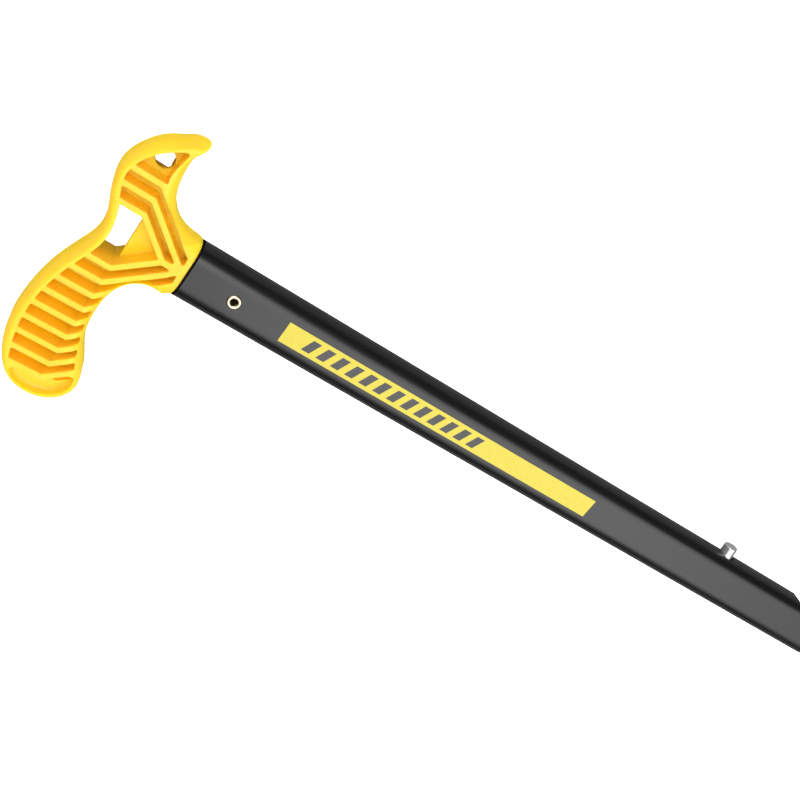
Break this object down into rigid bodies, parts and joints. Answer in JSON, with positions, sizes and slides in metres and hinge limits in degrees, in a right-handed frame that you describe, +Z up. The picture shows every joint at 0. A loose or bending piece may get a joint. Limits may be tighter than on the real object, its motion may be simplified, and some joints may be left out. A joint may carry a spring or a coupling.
{
  "type": "one-hand ice axe shaft with a ribbed handle",
  "caption": "Hooked, ribbed plastic handle riveted into a flat oval aluminium shaft with a slanted foot and a spring snap button.",
  "frame": {"origin": "centre of the whole object's box, at the lowest point of its base: the object lies on its side", "axes": "+X runs down the shaft from the handle to the foot, +Y points to the side of the beak and the button, +Z is up, through the thickness of the handle"},
  "size_m": [0.4972, 0.1492, 0.025],
  "materials": {
    "handle": "satin",
    "shaft": "satin black anodised",
    "rivet": "nickel plated",
    "label": "satin film",
    "button": "polished",
    "spring": "spring steel",
    "plug": "moulded"
  },
  "bodies": {
    "axe": {"handle": "handle", "shaft_tube": "shaft", "tubular_rivet": "rivet", "side_label": "label", "button_spring": "spring", "foot_plug": "plug"},
    "button": {"snap_button": "button"}
  },
  "joints": [
    {"name": "button_press", "type": "hinge", "parent": "axe", "child": "button", "pos_m": [0.1173, 0.02203, 0.0125], "axis": [0, 0, 1], "range_deg": [-8.4, 0], "stiffness_Nm_per_rad": 2.7, "springref_deg": 4.98, "deforming": ["button_spring"]}
  ]
}
